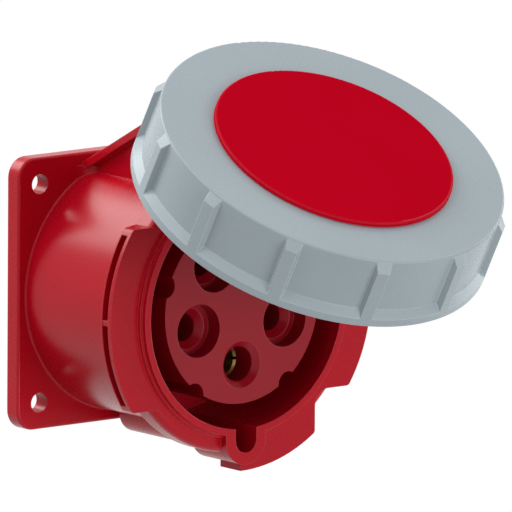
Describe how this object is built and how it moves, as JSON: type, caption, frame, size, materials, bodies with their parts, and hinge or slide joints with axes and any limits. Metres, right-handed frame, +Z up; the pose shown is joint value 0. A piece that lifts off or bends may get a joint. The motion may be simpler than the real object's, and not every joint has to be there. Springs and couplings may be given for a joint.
{
  "type": "industrial panel socket",
  "caption": "Industrial pin-and-sleeve panel socket: square flange, round shrouded body, hinged watertight lid with a ribbed bayonet ring.",
  "frame": {"origin": "centre of the flange's back face, where it meets the panel", "axes": "-Y out of the mouth, along the socket's axis; +Z up, towards the hinge; +X to the right as seen from the front"},
  "size_m": [0.1108, 0.1645, 0.1284],
  "materials": {
    "housing_red_plastic": "satin moulded polyamide",
    "insert_red_plastic": "satin moulded polyamide",
    "back_grey_plastic": "moulded polyamide",
    "lid_grey_plastic": "satin moulded polyamide",
    "cap_red_plastic": "smooth moulded polyamide",
    "seal_rubber": "moulded chloroprene",
    "contact_brass": "turned, bright",
    "spring_steel": "rolled wire",
    "screw_steel": "zinc plated",
    "pin_steel": "ground stainless"
  },
  "bodies": {
    "socket": {"housing": "housing_red_plastic", "flange_gasket": "seal_rubber", "contact_carrier": "insert_red_plastic", "carrier_back": "back_grey_plastic", "carrier_seal": "seal_rubber", "terminal_screws": "screw_steel", "carrier_screws": "screw_steel", "carrier_bolt": "screw_steel", "hinge_pin": "pin_steel", "sleeve_l3": "contact_brass", "sleeve_neutral": "contact_brass", "sleeve_earth": "contact_brass", "sleeve_l1": "contact_brass", "sleeve_l2": "contact_brass", "spring_l3": "spring_steel", "spring_neutral": "spring_steel", "spring_earth": "spring_steel", "spring_l1": "spring_steel", "spring_l2": "spring_steel"},
    "lid": {"lid": "lid_grey_plastic", "lid_gasket": "seal_rubber", "lid_cap": "cap_red_plastic", "lid_cap_screws": "screw_steel"},
    "ring": {"bayonet_ring": "lid_grey_plastic"}
  },
  "joints": [
    {"name": "lid_hinge", "type": "hinge", "parent": "socket", "child": "lid", "pos_m": [0, -0.0426, 0.0528], "axis": [-1, 0, 0], "range_deg": [-60.3, 49.7]},
    {"name": "ring_turn", "type": "hinge", "parent": "lid", "child": "ring", "pos_m": [0, -0.10278, 0.05174], "axis": [0, 0.4955, -0.8686], "range_deg": [0, 45]}
  ]
}
